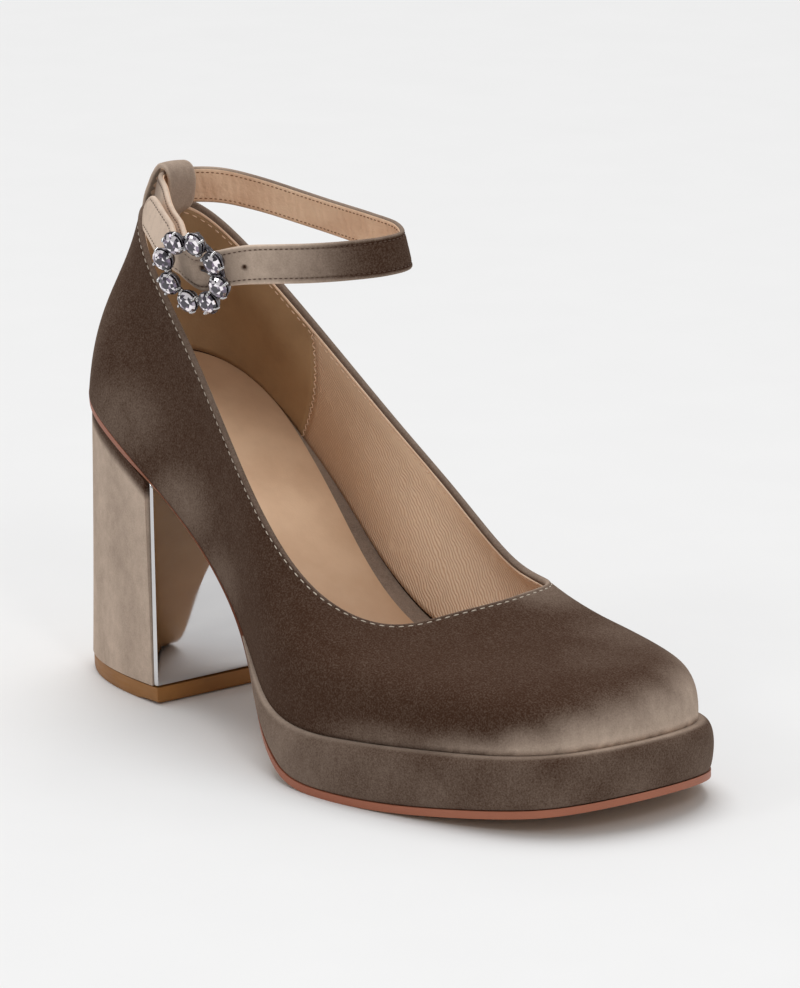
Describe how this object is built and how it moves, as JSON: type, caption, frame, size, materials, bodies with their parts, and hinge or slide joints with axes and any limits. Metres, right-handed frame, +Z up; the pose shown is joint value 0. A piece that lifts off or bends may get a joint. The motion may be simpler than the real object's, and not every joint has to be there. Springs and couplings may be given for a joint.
{
  "type": "ankle strap heeled shoe",
  "caption": "Square-toed velvet platform court shoe for the right foot, with an ankle strap through a heel loop, a stone-set buckle and a block heel with a mirror plate.",
  "frame": {"origin": "on the floor under the middle of the shoe's box", "axes": "+X from the heel to the toe, +Y to the inner side of the foot, +Z up"},
  "size_m": [0.235, 0.0996, 0.155],
  "materials": {
    "velvet": "taupe velvet with a brushed nap",
    "sock_leather": "smooth tan leather",
    "sole_leather": "terracotta edge paint, tan underside",
    "lift_rubber": "matt caramel rubber",
    "mirror_metal": "mirror",
    "buckle_metal": "polished silver colour",
    "crystal": "faceted pale grey crystal"
  },
  "bodies": {
    "root": {"upper": "velvet", "platform": "velvet", "insole": "velvet", "heel_block": "velvet", "ankle_strap": "velvet", "heel_loop": "velvet", "sock": "sock_leather", "outsole": "sole_leather", "heel_top_lift": "lift_rubber", "heel_breast_plate": "mirror_metal", "buckle_frame": "buckle_metal", "buckle_bar": "buckle_metal", "buckle_prong": "buckle_metal", "buckle_stone_1": "crystal", "buckle_stone_2": "crystal", "buckle_stone_3": "crystal", "buckle_stone_4": "crystal", "buckle_stone_5": "crystal", "buckle_stone_6": "crystal", "buckle_stone_7": "crystal", "buckle_stone_8": "crystal"}
  },
  "joints": []
}
